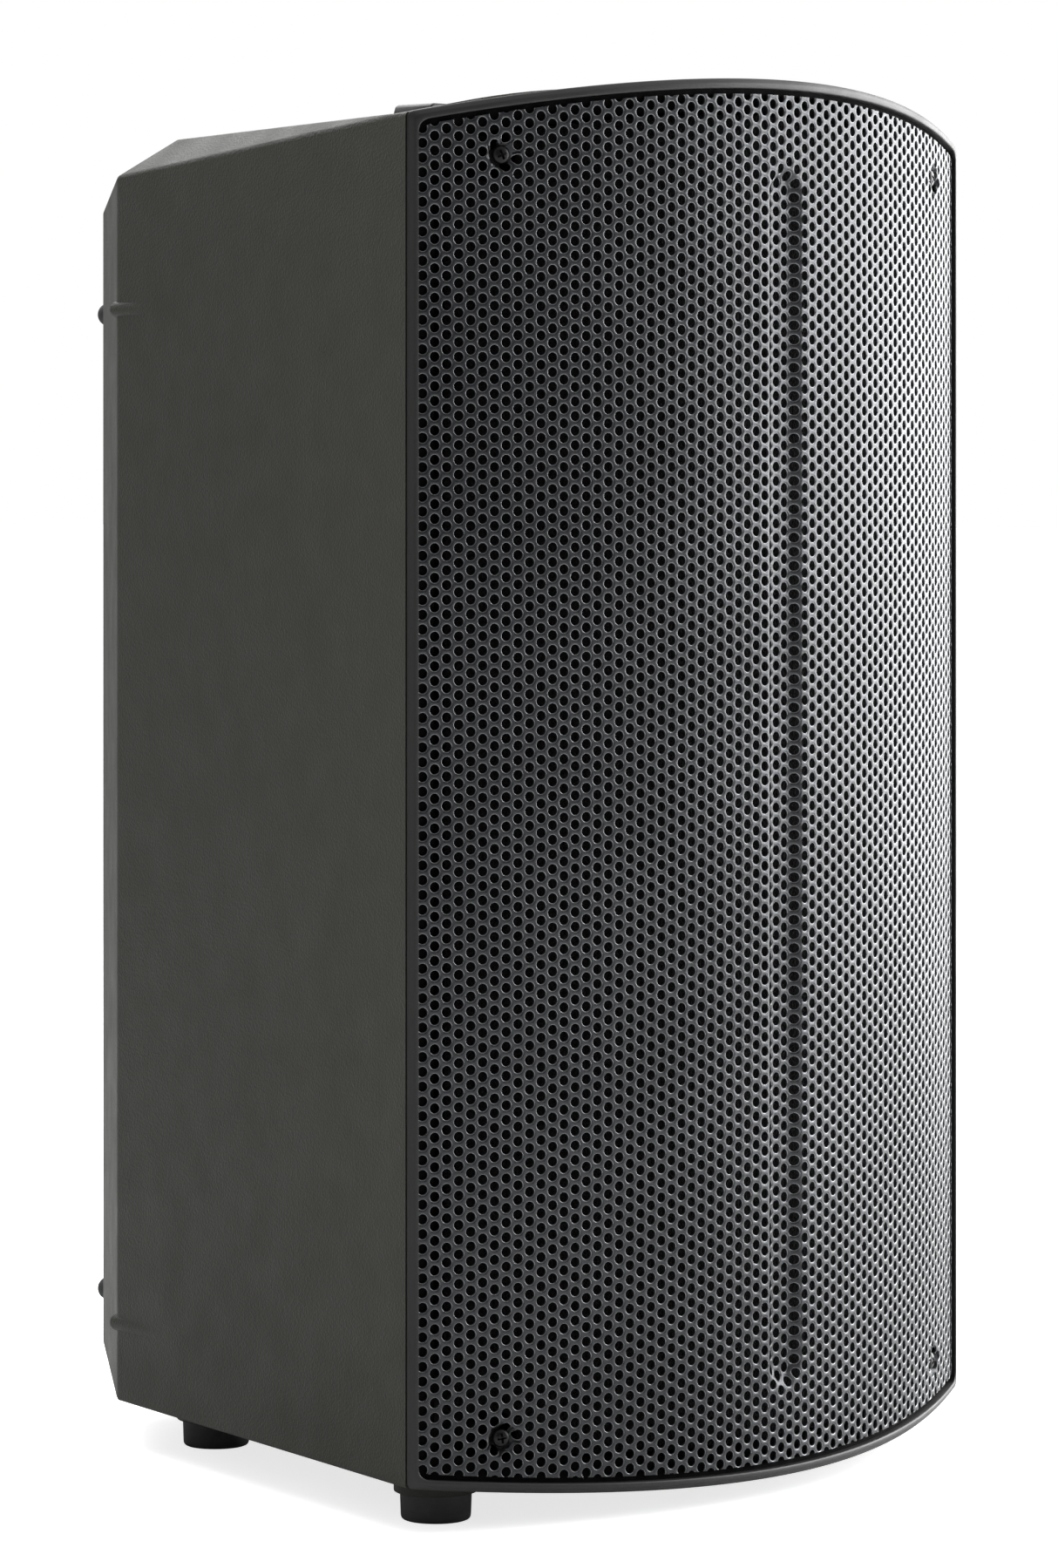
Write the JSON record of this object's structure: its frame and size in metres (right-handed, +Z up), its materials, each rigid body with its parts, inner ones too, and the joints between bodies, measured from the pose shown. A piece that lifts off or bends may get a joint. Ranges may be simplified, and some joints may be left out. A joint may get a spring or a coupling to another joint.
{
  "type": "column pa system bass cabinet",
  "caption": "Powered bass cabinet with a curved perforated grille, tapering sides, rubber feet, a rear amplifier panel and a top socket for a column speaker.",
  "frame": {"origin": "centre of the bounding box in plan, at the floor", "axes": "+Z up, the grille faces -Y, +X is to the right when the grille is seen from the front"},
  "size_m": [0.4128, 0.4356, 0.6975],
  "materials": {
    "shell_plastic": "moulded, fine grain",
    "bezel_plastic": "moulded, satin",
    "grille_coat": "textured powder coat",
    "black_screw": "black oxide",
    "acoustic_foam": "open-cell foam",
    "foot_rubber": "matt",
    "painted_board": "black-painted board",
    "black_plastic": "satin",
    "pulp_cone": "coated pulp",
    "cast_basket": "black powder coat",
    "magnet_steel": "zinc-plated",
    "black_alloy": "black anodised",
    "panel_coat": "textured powder coat",
    "circuit_board": "solder mask",
    "copper_winding": "enamelled",
    "spider_cloth": "phenolic-treated weave",
    "status_lens": "clear tinted",
    "control_plastic": "satin, fine grain",
    "surround_rubber": "satin"
  },
  "bodies": {
    "cabinet": {"rear_shell": "shell_plastic", "front_bezel": "bezel_plastic", "grille": "grille_coat", "grille_screw_upper_left": "black_screw", "grille_screw_upper_right": "black_screw", "grille_screw_lower_left": "black_screw", "grille_screw_lower_right": "black_screw", "grille_foam": "acoustic_foam", "baffle": "painted_board", "port_tube_left": "black_plastic", "port_tube_right": "black_plastic", "brace": "painted_board", "woofer_lower_frame": "cast_basket", "woofer_lower_magnet": "magnet_steel", "woofer_lower_surround": "surround_rubber", "woofer_lower_spider": "spider_cloth", "woofer_upper_frame": "cast_basket", "woofer_upper_magnet": "magnet_steel", "woofer_upper_surround": "surround_rubber", "woofer_upper_spider": "spider_cloth", "foot_front_left": "foot_rubber", "foot_front_right": "foot_rubber", "foot_rear_left": "foot_rubber", "foot_rear_right": "foot_rubber", "rear_bumper_upper_left": "foot_rubber", "rear_bumper_upper_right": "foot_rubber", "rear_bumper_lower_left": "foot_rubber", "rear_bumper_lower_right": "foot_rubber", "top_handle": "bezel_plastic", "column_socket": "black_plastic", "contact_block": "copper_winding", "amp_panel": "panel_coat", "panel_screw_upper_left": "black_screw", "panel_screw_upper_right": "black_screw", "panel_screw_lower_left": "black_screw", "panel_screw_lower_right": "black_screw", "heatsink": "black_alloy", "amp_board": "circuit_board", "power_transformer": "copper_winding", "filter_capacitor": "black_plastic", "combo_input_left": "black_plastic", "combo_input_right": "black_plastic", "line_output_left": "black_plastic", "line_output_right": "black_plastic", "mains_inlet": "black_plastic", "status_lens": "status_lens", "speaker_cable": "foot_rubber"},
    "cone_lower": {"woofer_lower_cone": "pulp_cone", "woofer_lower_dust_cap": "pulp_cone", "woofer_lower_voice_coil": "copper_winding"},
    "cone_upper": {"woofer_upper_cone": "pulp_cone", "woofer_upper_dust_cap": "pulp_cone", "woofer_upper_voice_coil": "copper_winding"},
    "level_knob_body": {"level_knob": "control_plastic"},
    "crossover_knob_body": {"crossover_knob": "control_plastic"},
    "power_rocker_body": {"power_rocker": "control_plastic"},
    "polarity_switch_body": {"polarity_switch": "control_plastic"},
    "filter_switch_body": {"filter_switch": "control_plastic"},
    "combo_latch_left_body": {"combo_latch_left": "control_plastic"},
    "combo_latch_right_body": {"combo_latch_right": "control_plastic"}
  },
  "joints": [
    {"name": "cone_lower_travel", "type": "slide", "parent": "cabinet", "child": "cone_lower", "axis": [0, -1, 0], "range_m": [-0.008, 0.008]},
    {"name": "cone_upper_travel", "type": "slide", "parent": "cabinet", "child": "cone_upper", "axis": [0, -1, 0], "range_m": [-0.008, 0.008]},
    {"name": "level_knob_turn", "type": "hinge", "parent": "cabinet", "child": "level_knob_body", "pos_m": [-0.027, 0.19915, 0.405], "axis": [0, 1, 0], "range_deg": [-150, 150]},
    {"name": "crossover_knob_turn", "type": "hinge", "parent": "cabinet", "child": "crossover_knob_body", "pos_m": [0.027, 0.19915, 0.405], "axis": [0, 1, 0], "range_deg": [-150, 150]},
    {"name": "power_rocker_tilt", "type": "hinge", "parent": "cabinet", "child": "power_rocker_body", "pos_m": [-0.03, 0.19915, 0.232], "axis": [-1, 0, 0], "range_deg": [0, 18]},
    {"name": "polarity_switch_slide", "type": "slide", "parent": "cabinet", "child": "polarity_switch_body", "axis": [1, 0, 0], "range_m": [0, 0.008]},
    {"name": "filter_switch_slide", "type": "slide", "parent": "cabinet", "child": "filter_switch_body", "axis": [1, 0, 0], "range_m": [0, 0.008]},
    {"name": "combo_latch_left_press", "type": "slide", "parent": "cabinet", "child": "combo_latch_left_body", "axis": [0, -1, 0], "range_m": [0, 0.001]},
    {"name": "combo_latch_right_press", "type": "slide", "parent": "cabinet", "child": "combo_latch_right_body", "axis": [0, -1, 0], "range_m": [0, 0.001]}
  ],
  "couplings": [
    {"joint": "cone_upper_travel", "follows": "cone_lower_travel", "ratio": 1}
  ]
}
